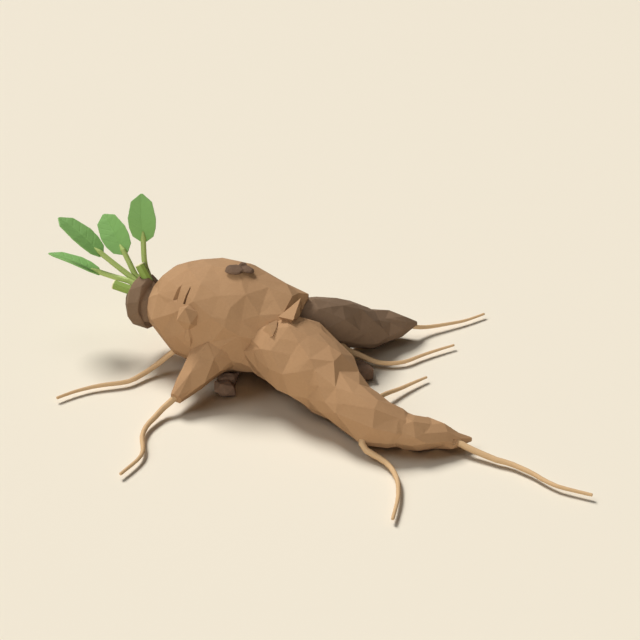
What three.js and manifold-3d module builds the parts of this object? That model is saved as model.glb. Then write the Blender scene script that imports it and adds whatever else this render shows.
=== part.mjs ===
// A forked burdock root with its crown, young leaves, rootlets and clods of soil, lying as it was picked.
// Millimetres, +Z up. +X runs from the leafy crown to the tip of the long front leg.
// The surface that it lies on is at z = 0, and the origin is on it, under the middle of the whole plant.
import * as THREE from "three";
import { ConvexGeometry } from "three/addons/geometries/ConvexGeometry.js";
import { mergeVertices } from "three/addons/utils/BufferGeometryUtils.js";
import Module from "manifold-3d";

const wasm = await Module();
wasm.setup();

// The clear space between two pieces that touch.
const GAP = 0.3;

// Spines: each point is [x, y, z, radius] on the middle line of a swollen or tapering root.
const BODY_SPINE = [
  [-80.3, -4, 27, 11.5],
  [-78, -3.7, 27, 16.8],
  [-73, -3, 27, 21],
  [-65, -2, 27.2, 24.6],
  [-56, -1, 27.2, 27],
  [-47, 0, 27.2, 28.2],
  [-36, 0.5, 26.8, 27.8],
  [-26, 1.5, 26, 24.5],
  [-15, 2, 25, 21.4],
  [-7, 2, 25.3, 19.4],
];
const BODY_MIDDLE = BODY_SPINE[5];
const LEG_SPINE = [
  [-26, -2, 19, 12],
  [-15, -7.5, 20.5, 16.5],
  [-4, -10.5, 22, 18],
  [6, -14, 22, 18],
  [20, -19, 17.5, 15],
  [32, -25, 14.5, 13],
  [43, -29, 11.8, 12],
  [53, -28.5, 9.9, 10.3],
  [60, -27.3, 8.2, 8],
  [65, -25.5, 7.5, 5],
];
const TOE_SPINE = [
  [56, -28, 9, 8.2],
  [61, -27.3, 8.5, 8.9],
  [67, -24.5, 7.6, 8],
  [73, -22.7, 6.5, 6.2],
  [79, -19.5, 5.2, 4.6],
  [86, -15, 3.8, 1],
];
const CONE_SPINE = [
  [-36, -13, 19, 10.5],
  [-38.6, -25, 17.6, 9.8],
  [-41.4, -32.5, 13, 8.2],
  [-43.2, -39.5, 9.5, 5.9],
  [-43.8, -47, 7.2, 3.2],
];
const REAR_SPINE = [
  [-18, 8, 24, 10],
  [-4, 20.5, 23, 12.3],
  [2.5, 28, 20, 12.2],
  [7, 35, 16, 11.6],
  [12.5, 42.5, 10.5, 10.7],
  [19.5, 51.5, 8.4, 8.6],
  [26, 56.5, 8, 6.4],
  [33, 63, 8, 1],
];
const CROWN_SPINE = [
  [-74, -3, 27, 7],
  [-80.5, -4, 27, 9.5],
  [-82.5, -4.3, 27, 12.6],
  [-86, -5, 27, 13.9],
  [-90, -5.5, 27, 13],
  [-93, -5.8, 27, 10.8],
  [-95, -6, 27, 6],
];

// Facets: sides round a spine, and the step between rings. rough is how uneven the skin is, as a share of
// the radius, and stray is how far a corner wanders over the skin, as a share of a facet.
const BODY_FACETS = { sides: 13, step: 10.5, rough: 0.024, stray: 0.32, seed: 5 };
const LEG_FACETS = { sides: 10, step: 10, rough: 0.038, stray: 0.34, seed: 12 };
const TOE_FACETS = { sides: 8, step: 6.5, rough: 0.075, stray: 0.35, seed: 21 };
const CONE_FACETS = { sides: 7, step: 11, rough: 0.03, stray: 0.15, seed: 3 };
const REAR_FACETS = { sides: 10, step: 8.5, rough: 0.055, stray: 0.32, seed: 8 };
const CROWN_FACETS = { sides: 12, step: 5, rough: 0.02, stray: 0.2, seed: 4 };
const SMOOTH = { rough: 0, stray: 0, seed: 1 };

// Rootlets: a middle line, and the radius at the base and at the tip.
const ROOTLETS = [
  {
    base: 1.5, tip: 0.6,
    path: [[-56.5, -12, 16], [-64.5, -18, 10], [-70.5, -25, 4.5], [-73.5, -32.5, 3], [-76.5, -39.5, 2.6],
      [-85, -46.5, 2.6], [-89.5, -50.5, 2.4], [-94.5, -57, 2.4], [-98.5, -64.5, 2.4]],
  },
  {
    base: 1.5, tip: 0.6,
    path: [[-43.5, -40, 9], [-45.5, -48, 6.2], [-47.5, -52.5, 4.2], [-48, -58.5, 3], [-48, -65, 2.6],
      [-45.5, -72, 2.4], [-40.5, -78.5, 2.4], [-38.5, -82.5, 2.4], [-38, -87, 2.4], [-39, -97, 2.4]],
  },
  {
    base: 1.6, tip: 0.6,
    path: [[43, -31, 10.5], [45, -39.5, 6], [48, -41.5, 4], [52.5, -42, 3], [58, -44, 2.6],
      [62.5, -47.5, 2.4], [66.5, -53, 2.4], [69, -59, 2.4], [70.5, -64, 2.4], [72.5, -74.5, 2.4]],
  },
  {
    base: 1.6, tip: 0.6,
    path: [[72, -22.5, 6], [79, -21.5, 5.4], [82, -20.8, 5], [86.5, -21.5, 4], [94, -22, 3], [99, -22.5, 2.6],
      [104.5, -22.2, 2.4], [109, -23, 2.4], [115, -24.5, 2.4], [120.5, -26.8, 2.4], [126, -28.3, 2.4],
      [132, -28.2, 2.4], [140, -27.7, 2.4]],
  },
  {
    base: 1.4, tip: 0.5,
    path: [[22, 53, 8.4], [28, 58.5, 7.8], [32.5, 62, 6], [37.5, 68, 4], [45.5, 77, 3], [53, 86, 2.4],
      [60, 97, 2.4]],
  },
  {
    base: 1.9, tip: 0.5,
    path: [[0, 26, 16], [5, 24, 11.5], [10, 24.5, 7], [13.5, 26.8, 5], [18.5, 27, 3.8], [23.5, 26.6, 3],
      [28, 27.5, 2.6], [32.5, 29.6, 2.4], [38, 34, 2.4], [43.5, 43, 2.4], [49, 51, 2.4], [55, 59, 2.4]],
  },
  {
    base: 1.4, tip: 0.5,
    path: [[41, -24, 10], [39.5, -14, 8], [39.5, -2, 5], [44, 9, 3.2], [48.5, 18.5, 2.6], [52, 25, 2.4]],
  },
];
const ROOTLET_SIDES = 7;
const ROOTLET_STEP = 3.5;

// Young leaves: the middle line of each stalk, the tip of its blade, and a point that its upper side faces.
const LEAVES = [
  {
    stalk: [[-90, -4.2, 33.2], [-93.7, -4.7, 35.6], [-96.5, -5, 36.5], [-105, -5.8, 37.3],
      [-114.2, -6.2, 38.5]],
    tip: [-140, -10, 46],
    face: [0.2, 0.32, 0.95],
  },
  {
    stalk: [[-88, -1.5, 32], [-94, -1.8, 35], [-97, -1.6, 36.8], [-104.5, -2.2, 41.6], [-114, -2.6, 47.6]],
    tip: [-136.5, -2.7, 63],
    face: [0.33, 0, 0.95],
  },
  {
    stalk: [[-89, 1, 29.5], [-93, 1.8, 33.3], [-97, 1.9, 36.4], [-99.7, 2.2, 41.7], [-104.7, 4.3, 47.6]],
    tip: [-121, 12, 61.5],
    face: [0.37, -0.78, 0.5],
  },
  {
    stalk: [[-83.5, 5, 31], [-89, 4.2, 33.4], [-91, 5, 36], [-93, 5.3, 42.3], [-94.8, 8.7, 54.2]],
    tip: [-96.8, 13.5, 75.8],
    face: [0.37, -0.78, 0.5],
  },
];
const STALK_RADIUS = 1.35;
const STALK_TIP_RADIUS = 1.1;
const STALK_SIDES = 7;
const STALK_STEP = 3.5;

// Leaf blade: rows of [share of the length, half width], its thickness, and how much its halves fold up.
const BLADE_ROWS = [[0, 1.4], [0.12, 5.2], [0.3, 6.6], [0.5, 7], [0.84, 5.2], [1, 0.4]];
const BLADE_THICKNESS = 0.8;
const BLADE_FOLD = 0.16;
const BLADE_ARCH = 1.2;
const BLADE_OVERLAP = 2;

// Cut stalks: the middle line and radius of each stub.
const STUBS = [
  {
    name: "cut_stalk_upper", radius: 2.5,
    path: [[-83, -3.6, 33], [-85.2, -3.2, 36.7], [-87, -2.8, 40.1], [-90.4, -2.2, 45.7]],
  },
  {
    name: "cut_stalk_lower", radius: 2.4,
    path: [[-84, -8.6, 31], [-88, -8.3, 32.6], [-92, -9, 33.8], [-101, -11, 36.2]],
  },
];
const STUB_SIDES = 8;
const STUB_STEP = 6;

// The bud on the shoulder, its scale, and the flakes of skin at the fork, by their corners.
const BUD = { centre: [-48.6, -23.4, 37], radii: [7, 6.4, 7.2], rough: 0.08, seed: 6 };
const BUD_SCALE = { centre: [-47.8, -25.4, 27], radii: [3, 3.5, 8.5], rough: 0.1, seed: 9 };
const FORK_FLAKES = [
  [[-16, -18.4, 32.3], [-10, -18.6, 40.2], [-8.5, -13, 39.5], [-6, -18.5, 39], [-6, -22.4, 36.6],
    [-14.5, -20, 31], [-9, -13, 33]],
  [[-8, -13.2, 41.4], [-3.2, 0, 45], [0, -14, 42], [-2, -3, 38], [-5, -8, 34]],
];

// The open split in the skin above the bud: its two ends, the width at the lower end, and the depth.
// taper is the share of that width which is lost by the upper end.
const SPLIT = { low: [-51.6, -23, 42.6], high: [-51.3, -14.5, 51], width: 1.4, depth: 7, taper: 0.85 };

// The shallow fold to the left of the split, by the corners of what it takes away.
const FOLD = [[-60.8, -25, 41], [-55.2, -25.8, 41], [-56.6, -13.5, 52], [-57.4, -18.4, 42.8]];

// Soil that clings to the top of the root, under its front and in the fork: lumps by centre and radii.
const SOIL_TOP = [
  [[-36.6, -2, 53.8], [5.2, 4.4, 2.1]],
  [[-32, 0.8, 53.2], [4.4, 3.8, 2.1]],
  [[-34.6, 3, 54.2], [2, 2, 1.8]],
];
const SOIL_FRONT = [
  [[-31, -25, 3], [6.2, 5.2, 4.6]],
  [[-34.5, -17.5, 2.8], [5.6, 9, 4.2]],
];
const SOIL_FORK = [
  [[21, 15, 3.5], [8, 7, 5.5]],
  [[9, 11, 5], [9.5, 8, 7]],
  [[-1, 9, 7], [8, 8, 7.5]],
];
const SOIL_ROUGH = 0.12;
const SOIL_SEEDS = { top: 31, front: 41, fork: 51 };

const COLOURS = {
  skin: 0xaa8058,
  dark: 0x5c4938,
  crown: 0x6a5341,
  rootlet: 0xc49c74,
  leaf: 0x6f9c50,
  stalk: 0x98a860,
  stub: 0x7f9343,
  soil: 0x594636,
};

// A repeatable run of numbers from 0 to 1.
function randomRun(seed) {
  let state = seed * 2654435761 >>> 0;
  return () => {
    state = (state + 0x6d2b79f5) >>> 0;
    let mixed = Math.imul(state ^ (state >>> 15), state | 1);
    mixed ^= mixed + Math.imul(mixed ^ (mixed >>> 7), mixed | 61);
    return ((mixed ^ (mixed >>> 14)) >>> 0) / 4294967296;
  };
}

// A closed geometry with only its positions left and its shared corners merged.
function bare(geometry) {
  geometry.deleteAttribute("normal");
  geometry.deleteAttribute("uv");
  return mergeVertices(geometry, 1e-4);
}

function toSolid(geometry) {
  const vertProperties = new Float32Array(geometry.attributes.position.array);
  const triVerts = new Uint32Array(geometry.index.array);
  return new wasm.Manifold(new wasm.Mesh({ numProp: 3, vertProperties, triVerts }));
}

function toGeometry(solid) {
  const mesh = solid.getMesh();
  const geometry = new THREE.BufferGeometry();
  geometry.setAttribute("position", new THREE.BufferAttribute(mesh.vertProperties, 3));
  geometry.setIndex(new THREE.BufferAttribute(mesh.triVerts, 1));
  return geometry;
}

function smoothCurve(points) {
  return new THREE.CatmullRomCurve3(points, false, "catmullrom");
}

// A faceted root along a spine: a cylinder whose rings are carried along a smooth curve.
// On an uneven root each ring is turned by half a side from the last, so that the skin breaks into even
// triangles. On a smooth shoot the sides run straight along it. grow adds to each radius.
function spineSolid(spine, { sides, step, rough, stray, seed }, grow = 0) {
  const line = smoothCurve(spine.map(([x, y, z]) => new THREE.Vector3(x, y, z)));
  const widths = smoothCurve(spine.map((point) => new THREE.Vector3(point[3], 0, 0)));
  const rings = Math.max(2, Math.round(line.getLength() / step));
  const frames = line.computeFrenetFrames(rings, false);
  const random = randomRun(seed);
  const geometry = bare(new THREE.CylinderGeometry(1, 1, 1, sides, rings));
  const position = geometry.attributes.position;
  for (let i = 0; i < position.count; i += 1) {
    const ring = Math.round((0.5 + position.getY(i)) * rings);
    const isEnd = ring === 0 || ring === rings;
    const isCap = Math.hypot(position.getX(i), position.getZ(i)) < 0.5;
    const uneven = 1 + rough * (2 * random() - 1);
    const slide = stray * (2 * random() - 1);
    const swing = stray * (2 * random() - 1);
    const share = (ring + (isEnd ? 0 : slide)) / rings;
    const centre = line.getPointAt(share);
    const radius = widths.getPoint(line.getUtoTmapping(share)).x;
    const halfSide = Math.PI / sides;
    const stagger = rough > 0 ? ring : 0;
    const turn = Math.atan2(position.getX(i), position.getZ(i)) + (2 * swing - stagger) * halfSide;
    const reach = isCap ? 0 : radius * uneven + grow;
    const endward = grow * (ring === 0 ? -1 : Number(ring === rings));
    centre.addScaledVector(frames.normals[ring], reach * Math.cos(turn));
    centre.addScaledVector(frames.binormals[ring], reach * Math.sin(turn));
    centre.addScaledVector(frames.tangents[ring], endward);
    position.setXYZ(i, centre.x, centre.y, centre.z);
  }
  return toSolid(geometry);
}

// A smooth tapering shoot: a spine with no unevenness and an even taper.
function shootSolid(path, baseRadius, tipRadius, sides, step, grow = 0) {
  const last = path.length - 1;
  const spine = path.map((point, i) => [...point, baseRadius + (tipRadius - baseRadius) * (i / last)]);
  return spineSolid(spine, { sides, step, ...SMOOTH }, grow);
}

// A rough lump, such as a bud or a clod of soil.
function lumpSolid([x, y, z], [rx, ry, rz], rough, seed, detail = 0) {
  const random = randomRun(seed);
  const geometry = bare(new THREE.IcosahedronGeometry(1, detail));
  const position = geometry.attributes.position;
  for (let i = 0; i < position.count; i += 1) {
    const uneven = 1 + rough * (2 * random() - 1);
    position.setXYZ(
      i,
      x + rx * uneven * position.getX(i),
      y + ry * uneven * position.getY(i),
      z + rz * uneven * position.getZ(i),
    );
  }
  return toSolid(geometry);
}

function lumpsSolid(lumps, seed, detail) {
  return joined(lumps.map(([centre, radii], i) => lumpSolid(centre, radii, SOIL_ROUGH, seed + i, detail)));
}

// The smallest solid that holds all the given corners.
function flakeSolid(corners) {
  return toSolid(bare(new ConvexGeometry(corners.map((corner) => new THREE.Vector3(...corner)))));
}

// A wedge that narrows from its low end to its high end, standing square to the skin.
function splitSolid({ low, high, width, depth, taper }) {
  const start = new THREE.Vector3(...low);
  const along = new THREE.Vector3(...high).sub(start);
  const length = along.length();
  const outward = new THREE.Vector3(0, low[1] - BODY_MIDDLE[1], low[2] - BODY_MIDDLE[2]);
  const geometry = bare(new THREE.BoxGeometry(1, 1, 1));
  const position = geometry.attributes.position;
  for (let i = 0; i < position.count; i += 1) {
    const share = position.getY(i) + 0.5;
    position.setX(i, position.getX(i) * width * (1 - taper * share));
    position.setY(i, share * length);
    position.setZ(i, position.getZ(i) * depth);
  }
  const yAxis = along.normalize();
  const xAxis = new THREE.Vector3().crossVectors(yAxis, outward).normalize();
  const zAxis = new THREE.Vector3().crossVectors(xAxis, yAxis);
  geometry.applyMatrix4(new THREE.Matrix4().makeBasis(xAxis, yAxis, zAxis).setPosition(start));
  return toSolid(geometry);
}

// Everything below the surface that the plant lies on.
function groundSolid() {
  const depth = 40;
  const box = bare(new THREE.BoxGeometry(400, 400, depth));
  box.translate(0, 0, -depth / 2);
  return toSolid(box);
}

// A leaf blade of two flat halves that fold up a little from the midrib.
function bladeSolid(start, tip, face) {
  const rows = BLADE_ROWS.length - 1;
  const along = new THREE.Vector3().subVectors(tip, start);
  const length = along.length();
  const geometry = bare(new THREE.BoxGeometry(2, 1, 1, 2, rows, 1));
  const position = geometry.attributes.position;
  for (let i = 0; i < position.count; i += 1) {
    const [share, halfWidth] = BLADE_ROWS[Math.round((position.getY(i) + 0.5) * rows)];
    const across = position.getX(i) * halfWidth;
    const lift = BLADE_FOLD * Math.abs(across) - BLADE_ARCH * (2 * share - 1) ** 2;
    position.setXYZ(i, across, share * length, lift + position.getZ(i) * BLADE_THICKNESS);
  }
  const yAxis = along.normalize();
  const xAxis = new THREE.Vector3().crossVectors(yAxis, face).normalize();
  const zAxis = new THREE.Vector3().crossVectors(xAxis, yAxis);
  const place = new THREE.Matrix4().makeBasis(xAxis, yAxis, zAxis).setPosition(start);
  geometry.applyMatrix4(place);
  return toSolid(geometry);
}

function rootletSolid({ path, base, tip }, grow = 0) {
  return shootSolid(path, base, tip, ROOTLET_SIDES, ROOTLET_STEP, grow);
}

function stalkSolid({ stalk }, grow = 0) {
  return shootSolid(stalk, STALK_RADIUS, STALK_TIP_RADIUS, STALK_SIDES, STALK_STEP, grow);
}

function stubSolid({ path, radius }, grow = 0) {
  return shootSolid(path, radius, radius, STUB_SIDES, STUB_STEP, grow);
}

function joined(solids) {
  return solids.reduce((whole, solid) => whole.add(solid));
}

function cut(solid, tools) {
  return tools.reduce((rest, tool) => rest.subtract(tool), solid);
}

const ground = groundSolid();

// The brown root: the swollen body, the front leg and the short side root, grown as one.
function rawRoot(grow = 0) {
  return joined([
    spineSolid(BODY_SPINE, BODY_FACETS, grow),
    spineSolid(LEG_SPINE, LEG_FACETS, grow),
    spineSolid(TOE_SPINE, TOE_FACETS, grow),
    spineSolid(CONE_SPINE, CONE_FACETS, grow),
  ]);
}

function rootSolid() {
  const sockets = [
    spineSolid(CROWN_SPINE, CROWN_FACETS, GAP),
    spineSolid(REAR_SPINE, REAR_FACETS, GAP),
    ...ROOTLETS.map((rootlet) => rootletSolid(rootlet, GAP)),
  ];
  const detailed = joined([
    rawRoot(),
    lumpSolid(BUD.centre, BUD.radii, BUD.rough, BUD.seed),
    lumpSolid(BUD_SCALE.centre, BUD_SCALE.radii, BUD_SCALE.rough, BUD_SCALE.seed),
    ...FORK_FLAKES.map((corners) => flakeSolid(corners)),
  ]);
  return cut(detailed, [ground, splitSolid(SPLIT), flakeSolid(FOLD), ...sockets]);
}

// A clump of soil, cut back from the roots that it clings to.
function soilSolid(lumps, seed, detail) {
  const roots = [rawRoot(GAP), spineSolid(REAR_SPINE, REAR_FACETS, GAP)];
  return cut(lumpsSolid(lumps, seed, detail), [ground, ...roots]);
}

function rearRootSolid() {
  const sockets = ROOTLETS.map((rootlet) => rootletSolid(rootlet, GAP));
  return cut(spineSolid(REAR_SPINE, REAR_FACETS), [ground, ...sockets]);
}

function crownSolid() {
  const sockets = [
    ...LEAVES.map((leaf) => stalkSolid(leaf, GAP)),
    ...STUBS.map((stub) => stubSolid(stub, GAP)),
  ];
  return cut(spineSolid(CROWN_SPINE, CROWN_FACETS), sockets);
}

function leafSolid(leaf) {
  const stalk = leaf.stalk.map(([x, y, z]) => new THREE.Vector3(x, y, z));
  const tip = new THREE.Vector3(...leaf.tip);
  const stalkEnd = stalk[stalk.length - 1];
  const start = stalkEnd.clone().addScaledVector(tip.clone().sub(stalkEnd).normalize(), -BLADE_OVERLAP);
  const blade = bladeSolid(start, tip, new THREE.Vector3(...leaf.face));
  return cut(blade, [stalkSolid(leaf, GAP)]);
}

const plant = new THREE.Group();

function addPiece(name, solid, colour, roughness) {
  const material = new THREE.MeshStandardMaterial({ color: colour, roughness, metalness: 0 });
  const mesh = new THREE.Mesh(toGeometry(solid), material);
  mesh.name = name;
  plant.add(mesh);
}

addPiece("root", rootSolid(), COLOURS.skin, 0.85);
addPiece("side_root_rear", rearRootSolid(), COLOURS.dark, 0.9);
addPiece("crown", crownSolid(), COLOURS.crown, 0.9);
ROOTLETS.forEach((rootlet, i) => {
  addPiece(`rootlet_${i + 1}`, rootletSolid(rootlet), COLOURS.rootlet, 0.8);
});
LEAVES.forEach((leaf, i) => {
  addPiece(`leaf_stalk_${i + 1}`, stalkSolid(leaf), COLOURS.stalk, 0.6);
  addPiece(`leaf_blade_${i + 1}`, leafSolid(leaf), COLOURS.leaf, 0.6);
});
STUBS.forEach((stub) => {
  addPiece(stub.name, stubSolid(stub), COLOURS.stub, 0.65);
});
addPiece("soil_top", soilSolid(SOIL_TOP, SOIL_SEEDS.top, 1), COLOURS.soil, 1);
addPiece("soil_front", soilSolid(SOIL_FRONT, SOIL_SEEDS.front), COLOURS.soil, 1);
addPiece("soil_fork", soilSolid(SOIL_FORK, SOIL_SEEDS.fork), COLOURS.soil, 1);

export default plant;
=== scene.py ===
import math

import bpy
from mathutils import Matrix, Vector


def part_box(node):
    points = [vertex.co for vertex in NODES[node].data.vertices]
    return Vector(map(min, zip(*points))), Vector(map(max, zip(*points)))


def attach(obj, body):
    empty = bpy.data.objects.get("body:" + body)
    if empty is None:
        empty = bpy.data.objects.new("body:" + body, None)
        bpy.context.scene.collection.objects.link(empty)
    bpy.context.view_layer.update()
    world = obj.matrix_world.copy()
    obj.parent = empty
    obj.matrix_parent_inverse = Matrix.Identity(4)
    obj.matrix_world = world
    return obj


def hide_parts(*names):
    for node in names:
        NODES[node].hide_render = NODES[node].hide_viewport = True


# A stocky forked burdock root with its crown, young leaves and rootlets, lying on a pale table.

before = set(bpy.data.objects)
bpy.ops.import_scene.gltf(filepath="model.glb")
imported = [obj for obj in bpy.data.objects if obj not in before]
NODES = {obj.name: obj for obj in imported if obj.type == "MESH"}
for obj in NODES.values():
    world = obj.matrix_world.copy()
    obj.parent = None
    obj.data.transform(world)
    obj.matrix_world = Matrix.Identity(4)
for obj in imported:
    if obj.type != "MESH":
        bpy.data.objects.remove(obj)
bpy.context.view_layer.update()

MM = 0.001

# The camera looks down at the plant from the front, a little to the right of it.
VIEW_TURN = math.radians(25)
VIEW_TILT = math.radians(30)
VIEW_TARGET = Vector((-8.1, 31.9, 16)) * MM
VIEW_DISTANCE = 450 * MM
LENS_MM = 50
SENSOR_MM = 36

# The studio: one clear window behind on the left, two broad soft ones on the left and overhead, and a fill
# in front. Each has its turn to the right of the camera, its height over the floor and its width, in
# degrees, and its strength. The fill is kept off the floor, so that it doesn't wash out the shadows.
WINDOWS = {
    "main_window": (-144, 48, 19, 3.2),
    "left_window": (-95, 44, 30, 0.55),
    "roof_window": (180, 76, 30, 0.2),
    "front_fill": (-8, 28, 30, 1.85),
}
SKY_STRENGTH = 0.03
BACKDROP_TONE = (238, 229, 210)
FLOOR_TONE = (244, 234, 214)
FLOOR_ROUGHNESS = 0.9
FLOOR_SPECULAR = 0.1
FLOOR_SIZE = 40.0

# Grain of the rebuilt skins: how many times the box round a root is halved, how much of that box the root
# fills, the voxels of the other pieces, and how far a soft skin's corners move towards their neighbours.
# Corners of a CAD mesh that are closer than the last distance are one corner.
ROOT_HALVINGS = 8
REAR_HALVINGS = 7
BOX_FILL = 0.9
CROWN_VOXEL = 0.35 * MM
SHOOT_VOXEL = 0.23 * MM
LEAF_VOXEL = 0.22 * MM
SOIL_VOXEL = 0.35 * MM
SOFTENING = 0.5
MERGE_DISTANCE = 0.001 * MM

# What edit mode picks, out of corners, edges and faces.
PICK_EDGES = (False, True, False)
PICK_FACES = (False, False, True)

# Fine relief pressed into the skins: how wide and how deep its bumps are, and its count of finer layers.
SKIN_RELIEF = (3 * MM, 0.06 * MM, 2)
BARK_RELIEF = (1.6 * MM, 0.1 * MM, 3)
ROOTLET_RELIEF = (2.2 * MM, 0.1 * MM, 2)
SOIL_RELIEF = (1.2 * MM, 0.25 * MM, 3)

# The big facets are split where an edge is longer than this, and their corners wander, inwards a little
# more than outwards. A corner stays put where one of its edges is short, as round a hole, and where it is
# near the table.
FACET_SPLIT = 13 * MM
ROOT_WANDER = 3.4 * MM
REAR_WANDER = ROOT_WANDER / 2
WANDER_MIDDLE = 0.6
FACET_GRAIN = 7 * MM
FACET_EDGE = 2.6 * MM
FACET_CLEARANCE = 4 * MM

# The bud, the split above it and the flakes at the fork keep their shapes: each spot's middle and reach.
QUIET_SPOTS = (
    (Vector((-48.6, -23.4, 35)) * MM, 13 * MM),
    (Vector((-53, -19, 46)) * MM, 10 * MM),
    (Vector((-8, -13, 38)) * MM, 12 * MM),
)

# A stalk's end: how many radii wide it is, with a little to spare, and how squarely its faces look out.
END_REACH = 2.1
END_FACING = 0.65

# Each stalk runs up its leaf as a thin wedge: the stalk's radius, the wedge's length, and the share of its
# width that is left at its tip.
STALK_RADIUS = 1.35 * MM
WEDGE_LENGTH = 3.4 * MM
WEDGE_END = 0.16

# The leaf's veins are pressed into both its sides, the side veins less than the midrib.
VEIN_PAIRS = 5
VEIN_DEPTH = 0.12 * MM
SIDE_VEIN_SHARE = 0.6
VEIN_WIDTH = 0.35 * MM
VEIN_SLANT = 0.9

# A cut stalk's end: its radius, the width of the pale ring round the pith, how far the pith sinks in over
# how wide a lip, and how far down the end is pale.
STUB_RADIUS = 2.5 * MM
STUB_RING = 1.2 * MM
STUB_SINK = 0.3 * MM
STUB_LIP = STUB_SINK / 2
PALE_DEPTH = 1.8 * STUB_SINK

# The groove between the crown and the body.
NECK_X = -81 * MM
NECK_WIDTH = 1.2 * MM
NECK_DEPTH = 1.3 * MM

# The shoots lose a little in the rebuilding, and get it back as an even swelling.
ROOTLET_SWELL = 0.2 * MM
STALK_SWELL = 0.3 * MM

# The finishes: how the tone is shared between patches and specks, how the grain is shared between pores
# and wrinkles, how far that grain stands out, and how little a matte surface shines.
PATCH_SHARE = 0.65
SPECK_SHARE = 0.35
PORE_SHARE = 0.35
WRINKLE_SHARE = 0.65
GRAIN_HEIGHT = 0.3 * MM
MATTE_SPECULAR = 0.25


def from_screen(red, green, blue):
    """A colour given in screen values from 0 to 255, as the light values that a shader takes."""
    def light(value):
        share = value / 255
        return share / 12.92 if share <= 0.04045 else ((share + 0.055) / 1.055) ** 2.4
    return (light(red), light(green), light(blue), 1)


# Modelling helpers

def select_only(piece):
    bpy.ops.object.select_all(action="DESELECT")
    piece.select_set(True)
    bpy.context.view_layer.objects.active = piece


def apply_modifier(piece, kind, **settings):
    select_only(piece)
    modifier = piece.modifiers.new(kind.title(), kind)
    for name, value in settings.items():
        setattr(modifier, name, value)
    bpy.ops.object.modifier_apply(modifier=modifier.name)


def edit_mesh(piece, *steps):
    """Runs edit-mode steps on what is selected in a piece's mesh."""
    select_only(piece)
    bpy.ops.object.mode_set(mode="EDIT")
    for step in steps:
        step()
    bpy.ops.object.mode_set(mode="OBJECT")


def deselect_mesh(piece):
    edit_mesh(piece, lambda: bpy.ops.mesh.select_all(action="DESELECT"))


def merged_copy(node, name):
    """A copy of a CAD node's mesh with its corners joined up."""
    piece = bpy.data.objects.new(name, NODES[node].data.copy())
    piece.data.materials.clear()
    bpy.context.scene.collection.objects.link(piece)
    edit_mesh(
        piece,
        lambda: bpy.ops.mesh.select_all(action="SELECT"),
        lambda: bpy.ops.mesh.remove_doubles(threshold=MERGE_DISTANCE),
    )
    return piece


def rebuild_skin(piece, voxel):
    """Rebuilds a faceted form as an even fine skin."""
    apply_modifier(piece, "REMESH", mode="VOXEL", voxel_size=voxel)


def rebuild_soft_skin(piece, voxel):
    """Rebuilds a faceted form as an even fine skin, with its facet edges worn a little round."""
    apply_modifier(piece, "REMESH", mode="VOXEL", voxel_size=voxel, use_smooth_shade=True)
    apply_modifier(piece, "SMOOTH", factor=SOFTENING, iterations=1)


def rebuild_facets(piece, halvings):
    """Rebuilds a form as an even fine skin that keeps its facets crisp and stays above the table."""
    apply_modifier(
        piece, "REMESH", mode="SHARP", octree_depth=halvings, scale=BOX_FILL, use_remove_disconnected=False
    )
    for corner in piece.data.vertices:
        corner.co.z = max(corner.co.z, 0)


def cloud_texture(name, grain, layers):
    texture = bpy.data.textures.new(name, "CLOUDS")
    texture.noise_scale = grain
    texture.noise_depth = layers
    return texture


def press_in(piece, grain, depth, layers):
    """Presses fine clouds into the skin, only inwards."""
    texture = cloud_texture(f"{piece.name}_relief", grain, layers)
    apply_modifier(piece, "DISPLACE", texture=texture, texture_coords="LOCAL", mid_level=1, strength=depth)


def press_along(piece, depth, share_at):
    """Presses each corner in by a share of a depth. The share is worked out from the corner's place."""
    normals = [corner.normal.copy() for corner in piece.data.vertices]
    for corner, normal in zip(piece.data.vertices, normals):
        corner.co -= normal * depth * share_at(corner.co)


def bell(offset, width):
    """A smooth rise from 0 to 1 and back, whose middle is where the offset is 0."""
    return math.exp(-((offset / width) ** 2))


def swell(piece, thickness):
    """Moves the whole skin outwards."""
    apply_modifier(piece, "DISPLACE", mid_level=0, strength=thickness)


def edge_length(piece, edge):
    first, second = (piece.data.vertices[corner].co for corner in edge.vertices)
    return (first - second).length


def split_facets(piece):
    """Splits each long edge in two, and the facets beside it into triangles."""
    deselect_mesh(piece)
    for edge in piece.data.edges:
        edge.select = edge_length(piece, edge) > FACET_SPLIT
    bpy.context.tool_settings.mesh_select_mode = PICK_EDGES
    edit_mesh(
        piece,
        lambda: bpy.ops.mesh.subdivide(number_cuts=1),
        lambda: bpy.ops.mesh.select_all(action="SELECT"),
        lambda: bpy.ops.mesh.quads_convert_to_tris(),
    )
    bpy.context.tool_settings.mesh_select_mode = PICK_FACES


def free_corners(piece):
    """The corners of the big facets that may wander."""
    shortest = [math.inf] * len(piece.data.vertices)
    for edge in piece.data.edges:
        for corner in edge.vertices:
            shortest[corner] = min(shortest[corner], edge_length(piece, edge))
    return [
        corner.index
        for corner in piece.data.vertices
        if shortest[corner.index] > FACET_EDGE
        and corner.co.z > FACET_CLEARANCE
        and all((corner.co - middle).length > reach for middle, reach in QUIET_SPOTS)
    ]


def sharpen_facets(piece, wander):
    """Splits the big facets and moves their corners, so that each facet catches the light its own way."""
    split_facets(piece)
    piece.vertex_groups.new(name="big_facets").add(free_corners(piece), 1, "REPLACE")
    apply_modifier(
        piece, "DISPLACE", texture=cloud_texture(f"{piece.name}_facets", FACET_GRAIN, 0),
        texture_coords="LOCAL", vertex_group="big_facets", mid_level=WANDER_MIDDLE, strength=wander,
    )


def finish_piece(piece, material, node):
    """Gives a piece its finish, and puts it in the place of its CAD node."""
    piece.data.materials.clear()
    piece.data.materials.append(material)
    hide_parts(node)
    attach(piece, "root")


def box_middle(node):
    low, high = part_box(node)
    return (Vector(low) + Vector(high)) / 2


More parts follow.
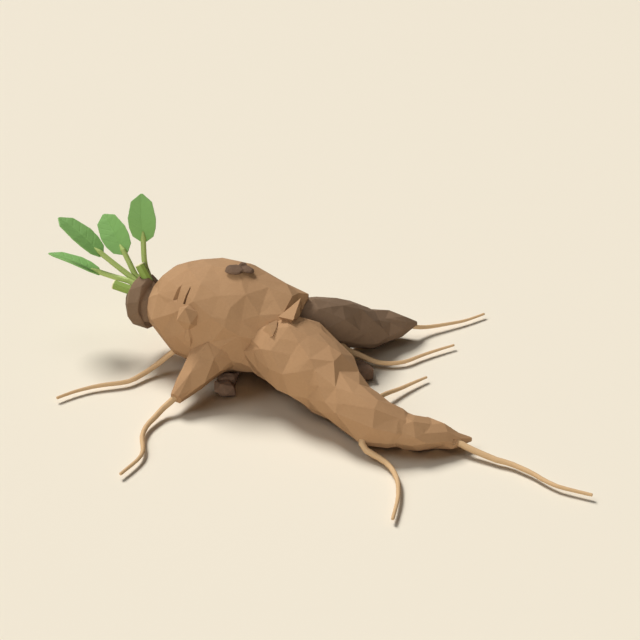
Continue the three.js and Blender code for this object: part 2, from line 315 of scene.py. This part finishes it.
def stalk_end(node, radius):
    """The middle of a stalk's end, which is where the stalk is furthest from the crown."""
    middle = box_middle("crown")
    corners = [corner.co for corner in NODES[node].data.vertices]
    furthest = max(corners, key=lambda corner: (corner - middle).length)
    ring = [corner for corner in corners if (corner - furthest).length < END_REACH * radius]
    return sum(ring, Vector()) / len(ring)


def pick_end(piece, end, radius, outward):
    """Selects only the faces of a stalk's end, ready for edit mode."""
    deselect_mesh(piece)
    for face in piece.data.polygons:
        is_near = (face.center - end).length < radius
        face.select = is_near and face.normal.dot(outward) > END_FACING


# Shader helpers

def new_group(name, inputs, outputs):
    group = bpy.data.node_groups.new(name, "ShaderNodeTree")
    for label, value in inputs:
        socket = group.interface.new_socket(name=label, in_out="INPUT", socket_type="NodeSocketFloat")
        socket.default_value = value
    for label in outputs:
        group.interface.new_socket(name=label, in_out="OUTPUT", socket_type="NodeSocketFloat")
    return group, group.nodes.new("NodeGroupInput"), group.nodes.new("NodeGroupOutput")


def set_or_link(tree, value, socket):
    """Gives a socket a plain number, or the output of another node."""
    if isinstance(value, (int, float)):
        socket.default_value = value
    else:
        tree.links.new(value, socket)


def math_node(tree, operation, first, second):
    node = tree.nodes.new("ShaderNodeMath")
    node.operation = operation
    set_or_link(tree, first, node.inputs[0])
    set_or_link(tree, second, node.inputs[1])
    return node.outputs[0]


def weighted_sum(tree, first, first_share, second, second_share):
    first_part = math_node(tree, "MULTIPLY", first, first_share)
    second_part = math_node(tree, "MULTIPLY", second, second_share)
    return math_node(tree, "ADD", first_part, second_part)


def noise_value(tree, coordinates, scale, detail):
    node = tree.nodes.new("ShaderNodeTexNoise")
    node.inputs["Detail"].default_value = detail
    tree.links.new(coordinates, node.inputs["Vector"])
    tree.links.new(scale, node.inputs["Scale"])
    return node.outputs["Fac"]


def object_coordinates(tree):
    return tree.nodes.new("ShaderNodeTexCoord").outputs["Object"]


def make_mottle_group():
    """Cloudy and speckled tone: a value near 0.5 that swings by Amount."""
    group, given, result = new_group(
        "tone_mottle", (("Patch Scale", 60), ("Speck Scale", 900), ("Amount", 0.3)), ("Tone",)
    )
    place = object_coordinates(group)
    patches = noise_value(group, place, given.outputs["Patch Scale"], detail=4)
    specks = noise_value(group, place, given.outputs["Speck Scale"], detail=3)
    both = weighted_sum(group, patches, PATCH_SHARE, specks, SPECK_SHARE)
    offset = math_node(group, "SUBTRACT", both, 0.5)
    swing = math_node(group, "MULTIPLY", offset, given.outputs["Amount"])
    group.links.new(math_node(group, "ADD", swing, 0.5), result.inputs["Tone"])
    return group


def make_grain_group():
    """Fine relief: soft pores over faint wrinkles."""
    group, given, result = new_group(
        "skin_grain", (("Pore Scale", 1500), ("Wrinkle Scale", 250)), ("Height",)
    )
    place = object_coordinates(group)
    pores = noise_value(group, place, given.outputs["Pore Scale"], detail=2)
    wrinkles = noise_value(group, place, given.outputs["Wrinkle Scale"], detail=5)
    both = weighted_sum(group, pores, PORE_SHARE, wrinkles, WRINKLE_SHARE)
    group.links.new(both, result.inputs["Height"])
    return group


MOTTLE = make_mottle_group()
GRAIN = make_grain_group()


def place_group(tree, group, **values):
    node = tree.nodes.new("ShaderNodeGroup")
    node.node_tree = group
    for label, value in values.items():
        node.inputs[label.replace("_", " ").title()].default_value = value
    return node


def mottled_material(name, dark, light, roughness, mottle, grain, relief):
    """A matte natural surface: its tone drifts between two colours over a fine grain."""
    material = bpy.data.materials.new(name)
    material.use_nodes = True
    tree = material.node_tree
    shader = tree.nodes["Principled BSDF"]
    shader.inputs["Roughness"].default_value = roughness
    shader.inputs["Specular IOR Level"].default_value = MATTE_SPECULAR
    tone = place_group(tree, MOTTLE, **mottle)
    colour = tree.nodes.new("ShaderNodeMix")
    colour.data_type = "RGBA"
    colour.inputs["A"].default_value = dark
    colour.inputs["B"].default_value = light
    tree.links.new(tone.outputs["Tone"], colour.inputs["Factor"])
    tree.links.new(colour.outputs["Result"], shader.inputs["Base Color"])
    bump = tree.nodes.new("ShaderNodeBump")
    bump.inputs["Strength"].default_value = relief
    bump.inputs["Distance"].default_value = GRAIN_HEIGHT
    tree.links.new(place_group(tree, GRAIN, **grain).outputs["Height"], bump.inputs["Height"])
    tree.links.new(bump.outputs["Normal"], shader.inputs["Normal"])
    return material


def skin_material():
    return mottled_material(
        "root_skin",
        dark=from_screen(142, 106, 73),
        light=from_screen(186, 147, 106),
        roughness=0.85,
        mottle={"patch_scale": 45, "speck_scale": 900, "amount": 0.6},
        grain={"pore_scale": 1500, "wrinkle_scale": 260},
        relief=0.35,
    )


def dark_root_material():
    return mottled_material(
        "dark_root_skin",
        dark=from_screen(96, 76, 59),
        light=from_screen(136, 110, 85),
        roughness=0.88,
        mottle={"patch_scale": 60, "speck_scale": 900, "amount": 0.6},
        grain={"pore_scale": 1500, "wrinkle_scale": 260},
        relief=0.35,
    )


def crown_material():
    return mottled_material(
        "crown_bark",
        dark=from_screen(96, 75, 57),
        light=from_screen(136, 110, 84),
        roughness=0.9,
        mottle={"patch_scale": 90, "speck_scale": 1100, "amount": 0.7},
        grain={"pore_scale": 1300, "wrinkle_scale": 320},
        relief=0.45,
    )


def rootlet_material():
    return mottled_material(
        "rootlet_skin",
        dark=from_screen(174, 139, 98),
        light=from_screen(214, 181, 138),
        roughness=0.8,
        mottle={"patch_scale": 140, "speck_scale": 1200, "amount": 0.6},
        grain={"pore_scale": 1800, "wrinkle_scale": 500},
        relief=0.3,
    )


def leaf_material():
    return mottled_material(
        "leaf_green",
        dark=from_screen(108, 154, 82),
        light=from_screen(138, 180, 102),
        roughness=0.6,
        mottle={"patch_scale": 120, "speck_scale": 1600, "amount": 0.5},
        grain={"pore_scale": 2600, "wrinkle_scale": 700},
        relief=0.2,
    )


def stalk_material():
    return mottled_material(
        "stalk_green",
        dark=from_screen(142, 162, 80),
        light=from_screen(176, 190, 116),
        roughness=0.55,
        mottle={"patch_scale": 160, "speck_scale": 1600, "amount": 0.5},
        grain={"pore_scale": 2600, "wrinkle_scale": 700},
        relief=0.2,
    )


def stub_material():
    return mottled_material(
        "cut_stalk_green",
        dark=from_screen(119, 145, 60),
        light=from_screen(146, 166, 80),
        roughness=0.55,
        mottle={"patch_scale": 160, "speck_scale": 1600, "amount": 0.5},
        grain={"pore_scale": 2600, "wrinkle_scale": 700},
        relief=0.2,
    )


def cut_face_material():
    return mottled_material(
        "cut_face_pale",
        dark=from_screen(214, 208, 158),
        light=from_screen(240, 232, 190),
        roughness=0.6,
        mottle={"patch_scale": 500, "speck_scale": 2400, "amount": 0.8},
        grain={"pore_scale": 3000, "wrinkle_scale": 900},
        relief=0.3,
    )


def soil_material():
    return mottled_material(
        "dry_soil",
        dark=from_screen(80, 61, 48),
        light=from_screen(128, 101, 79),
        roughness=0.95,
        mottle={"patch_scale": 240, "speck_scale": 1800, "amount": 1.0},
        grain={"pore_scale": 1400, "wrinkle_scale": 500},
        relief=0.8,
    )


# The pieces

def make_root():
    root = merged_copy("root", "root_body")
    sharpen_facets(root, ROOT_WANDER)
    rebuild_facets(root, ROOT_HALVINGS)
    press_in(root, *SKIN_RELIEF)
    finish_piece(root, skin_material(), "root")


def make_rear_root():
    rear = merged_copy("side_root_rear", "rear_side_root")
    sharpen_facets(rear, REAR_WANDER)
    rebuild_facets(rear, REAR_HALVINGS)
    press_in(rear, *SKIN_RELIEF)
    finish_piece(rear, dark_root_material(), "side_root_rear")


def make_crown():
    crown = merged_copy("crown", "crown_bark")
    rebuild_skin(crown, CROWN_VOXEL)
    press_in(crown, *BARK_RELIEF)
    press_along(crown, NECK_DEPTH, lambda place: bell(place.x - NECK_X, NECK_WIDTH))
    finish_piece(crown, crown_material(), "crown")


def make_rootlets():
    material = rootlet_material()
    for node in sorted(name for name in NODES if name.startswith("rootlet_")):
        rootlet = merged_copy(node, f"pale_{node}")
        rebuild_soft_skin(rootlet, SHOOT_VOXEL)
        swell(rootlet, ROOTLET_SWELL)
        press_in(rootlet, *ROOTLET_RELIEF)
        finish_piece(rootlet, material, node)


def make_stalk(node, blade_node, material):
    stalk = merged_copy(node, node.replace("leaf_stalk", "young_stalk"))
    end = stalk_end(node, STALK_RADIUS)
    onward = (box_middle(blade_node) - end).normalized()
    pick_end(stalk, end, STALK_RADIUS, onward)
    edit_mesh(
        stalk,
        lambda: bpy.ops.mesh.extrude_region_move(TRANSFORM_OT_translate={"value": onward * WEDGE_LENGTH}),
        lambda: bpy.ops.transform.resize(value=(WEDGE_END, WEDGE_END, WEDGE_END)),
    )
    rebuild_soft_skin(stalk, SHOOT_VOXEL)
    swell(stalk, STALK_SWELL)
    finish_piece(stalk, material, node)


def leaf_axes(node, stalk_node):
    """A leaf's base, the ways along and across it, and its length."""
    base = stalk_end(stalk_node, STALK_RADIUS)
    corners = [corner.co for corner in NODES[node].data.vertices]
    tip = max(corners, key=lambda corner: (corner - base).length)
    along = (tip - base).normalized()
    sideways = [(corner - base) - along * (corner - base).dot(along) for corner in corners]
    across = max(sideways, key=lambda offset: offset.length).normalized()
    return base, along, across, (tip - base).length


def press_veins(blade, base, along, across, length):
    """Presses the midrib and pairs of slanting side veins into a leaf."""
    spacing = length / (VEIN_PAIRS + 1)

    def vein_share(place):
        offset = place - base
        aside = abs(offset.dot(across))
        row = (offset.dot(along) - VEIN_SLANT * aside) / spacing
        midrib = bell(aside, VEIN_WIDTH)
        if not 0 < round(row) <= VEIN_PAIRS:
            return midrib
        side_vein = bell(abs(row - round(row)) * spacing, VEIN_WIDTH)
        return max(midrib, SIDE_VEIN_SHARE * side_vein)

    press_along(blade, VEIN_DEPTH, vein_share)


def make_leaves():
    blade_green = leaf_material()
    stalk_green = stalk_material()
    for node in sorted(name for name in NODES if name.startswith("leaf_blade_")):
        stalk_node = node.replace("blade", "stalk")
        blade = merged_copy(node, node.replace("leaf_blade", "young_leaf"))
        rebuild_soft_skin(blade, LEAF_VOXEL)
        press_veins(blade, *leaf_axes(node, stalk_node))
        finish_piece(blade, blade_green, node)
        make_stalk(stalk_node, node, stalk_green)


def make_stub(node, green, pale):
    """A stalk cut short, with a pale end whose pith has sunk in a little."""
    stub = merged_copy(node, f"{node}_end")
    end = stalk_end(node, STUB_RADIUS)
    outward = (end - box_middle("crown")).normalized()
    pick_end(stub, end, STUB_RADIUS, outward)
    facing = next(face.normal.copy() for face in stub.data.polygons if face.select)
    edit_mesh(
        stub,
        lambda: bpy.ops.mesh.dissolve_faces(),
        lambda: bpy.ops.mesh.inset(thickness=STUB_RING),
        lambda: bpy.ops.mesh.inset(thickness=STUB_LIP, depth=-STUB_SINK),
    )
    rebuild_soft_skin(stub, SHOOT_VOXEL)
    finish_piece(stub, green, node)
    stub.data.materials.append(pale)
    for face in stub.data.polygons:
        if (face.center - end).dot(facing) > -PALE_DEPTH:
            face.material_index = 1


def make_stubs():
    green = stub_material()
    pale = cut_face_material()
    for node in ("cut_stalk_upper", "cut_stalk_lower"):
        make_stub(node, green, pale)


def make_soil():
    brown = soil_material()
    for node in ("soil_top", "soil_front", "soil_fork"):
        clod = merged_copy(node, f"{node}_clod")
        rebuild_soft_skin(clod, SOIL_VOXEL)
        press_in(clod, *SOIL_RELIEF)
        finish_piece(clod, brown, node)


# The studio

def make_floor():
    bpy.ops.object.select_all(action="DESELECT")
    bpy.ops.mesh.primitive_plane_add(size=FLOOR_SIZE, location=(0, 0, 0))
    floor = bpy.context.object
    floor.name = "floor"
    material = bpy.data.materials.new("pale_floor")
    material.use_nodes = True
    shader = material.node_tree.nodes["Principled BSDF"]
    shader.inputs["Base Color"].default_value = from_screen(*FLOOR_TONE)
    shader.inputs["Roughness"].default_value = FLOOR_ROUGHNESS
    shader.inputs["Specular IOR Level"].default_value = FLOOR_SPECULAR
    floor.data.materials.append(material)
    return floor


def make_sky():
    """A faint even light, with the floor's pale tone where the camera looks past the floor."""
    world = bpy.data.worlds.new("studio_sky")
    world.use_nodes = True
    tree = world.node_tree
    glow = tree.nodes["Background"]
    glow.inputs["Color"].default_value = (1, 1, 1, 1)
    glow.inputs["Strength"].default_value = SKY_STRENGTH
    backdrop = tree.nodes.new("ShaderNodeBackground")
    backdrop.inputs["Color"].default_value = from_screen(*BACKDROP_TONE)
    mix = tree.nodes.new("ShaderNodeMixShader")
    path = tree.nodes.new("ShaderNodeLightPath")
    tree.links.new(path.outputs["Is Camera Ray"], mix.inputs["Fac"])
    tree.links.new(glow.outputs["Background"], mix.inputs[1])
    tree.links.new(backdrop.outputs["Background"], mix.inputs[2])
    tree.links.new(mix.outputs["Shader"], tree.nodes["World Output"].inputs["Surface"])
    bpy.context.scene.world = world


def way_to(turn, rise):
    """The way from the plant to a place round it, by its turn from the front and its rise."""
    return Vector((math.sin(turn) * math.cos(rise), -math.cos(turn) * math.cos(rise), math.sin(rise)))


def face_back(thing, way):
    """Turns a lamp or a camera to face back along the way that leads to it."""
    thing.rotation_euler = (-way).to_track_quat("-Z", "Y").to_euler()


def make_lights(floor):
    kept_from_fill = bpy.data.collections.new("kept_from_fill")
    kept_from_fill.objects.link(floor)
    kept_from_fill.collection_objects[0].light_linking.link_state = "EXCLUDE"
    for name, (turn, height, width, strength) in WINDOWS.items():
        light = bpy.data.lights.new(name, "SUN")
        light.energy = strength
        light.angle = math.radians(width)
        lamp = bpy.data.objects.new(name, light)
        bpy.context.scene.collection.objects.link(lamp)
        face_back(lamp, way_to(VIEW_TURN + math.radians(turn), math.radians(height)))
        if name == "front_fill":
            lamp.light_linking.receiver_collection = kept_from_fill


def make_camera():
    camera = bpy.data.cameras.new("camera")
    camera.lens = LENS_MM
    camera.sensor_width = SENSOR_MM
    eye = bpy.data.objects.new("camera", camera)
    bpy.context.scene.collection.objects.link(eye)
    way = way_to(VIEW_TURN, VIEW_TILT)
    eye.location = VIEW_TARGET + way * VIEW_DISTANCE
    face_back(eye, way)
    bpy.context.scene.camera = eye


def set_tones():
    """Shows the colours as they are, with no film look over them."""
    bpy.context.scene.view_settings.view_transform = "Standard"


bpy.context.tool_settings.mesh_select_mode = PICK_FACES
make_camera()
set_tones()
make_sky()
floor = make_floor()
make_lights(floor)
make_root()
make_rear_root()
make_crown()
make_rootlets()
make_leaves()
make_stubs()
make_soil()
